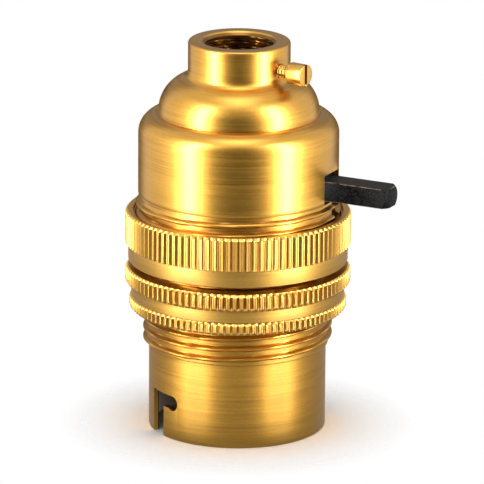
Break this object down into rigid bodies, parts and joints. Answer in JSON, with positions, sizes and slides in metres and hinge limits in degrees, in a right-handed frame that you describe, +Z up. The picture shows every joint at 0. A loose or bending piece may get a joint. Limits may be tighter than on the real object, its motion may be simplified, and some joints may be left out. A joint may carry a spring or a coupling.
{
  "type": "lamp holder",
  "caption": "Brass bayonet lamp holder with a tapped neck, a union ring, knurled shade rings and a black push bar switch.",
  "frame": {"origin": "On the axis, at the plane of the skirt's open rim, where the lamp's cap goes in.", "axes": "+Z runs up the axis from the rim to the threaded neck; +X is the way the push bar's long end stands out."},
  "size_m": [0.0421, 0.034, 0.0598],
  "materials": {
    "satin_brass": "satin, finely brushed round the axis",
    "contact_brass": "bright",
    "bar_plastic": "matte black",
    "moulding": "matte off-white",
    "spring_steel": "plain"
  },
  "bodies": {
    "holder": {"cap": "satin_brass", "skirt": "satin_brass", "switch_body": "moulding", "contact_block": "moulding", "terminal_left": "contact_brass", "terminal_right": "contact_brass", "terminal_screw_left": "contact_brass", "terminal_screw_right": "contact_brass", "fixed_contact": "contact_brass", "pivot_strip": "contact_brass", "rocker_pin": "spring_steel", "snap_leaf": "spring_steel", "plunger_tube_left": "contact_brass", "plunger_tube_right": "contact_brass", "plunger_spring_left": "spring_steel", "plunger_spring_right": "spring_steel", "body_screws": "spring_steel", "earth_terminal": "contact_brass", "earth_screw": "contact_brass"},
    "union_ring": {"union_ring": "satin_brass"},
    "upper_shade_ring": {"upper_shade_ring": "satin_brass"},
    "lower_shade_ring": {"lower_shade_ring": "satin_brass"},
    "push_bar": {"push_bar": "bar_plastic"},
    "rocker": {"rocker": "contact_brass"},
    "plunger_left": {"plunger_left": "contact_brass"},
    "plunger_right": {"plunger_right": "contact_brass"},
    "neck_lock_screw": {"neck_lock_screw": "satin_brass"}
  },
  "joints": [
    {"name": "union_ring_run", "type": "slide", "parent": "holder", "child": "union_ring", "axis": [0, 0, 1], "range_m": [-0.0009, 0]},
    {"name": "upper_shade_ring_run", "type": "slide", "parent": "holder", "child": "upper_shade_ring", "axis": [0, 0, 1], "range_m": [-0.0025, 0]},
    {"name": "lower_shade_ring_run", "type": "slide", "parent": "upper_shade_ring", "child": "lower_shade_ring", "axis": [0, 0, 1], "range_m": [-0.0026, 0]},
    {"name": "bar_push", "type": "slide", "parent": "holder", "child": "push_bar", "axis": [1, 0, 0], "range_m": [-0.008, 0]},
    {"name": "rocker_tilt", "type": "hinge", "parent": "holder", "child": "rocker", "pos_m": [0, 0, 0.0285], "axis": [0, 1, 0], "range_deg": [-49.3, 0]},
    {"name": "plunger_left_press", "type": "slide", "parent": "holder", "child": "plunger_left", "axis": [0, 0, 1], "range_m": [0, 0.003], "stiffness_N_per_m": 1000, "springref_m": -0.001, "deforming": ["plunger_spring_left"]},
    {"name": "plunger_right_press", "type": "slide", "parent": "holder", "child": "plunger_right", "axis": [0, 0, 1], "range_m": [0, 0.003], "stiffness_N_per_m": 1000, "springref_m": -0.001, "deforming": ["plunger_spring_right"]},
    {"name": "lock_screw_run", "type": "slide", "parent": "holder", "child": "neck_lock_screw", "axis": [0.9842, -0.1771, 0], "range_m": [-0.0012, 0]}
  ],
  "couplings": [
    {"joint": "rocker_tilt", "follows": "bar_push", "rad_per_m": 107.44}
  ]
}
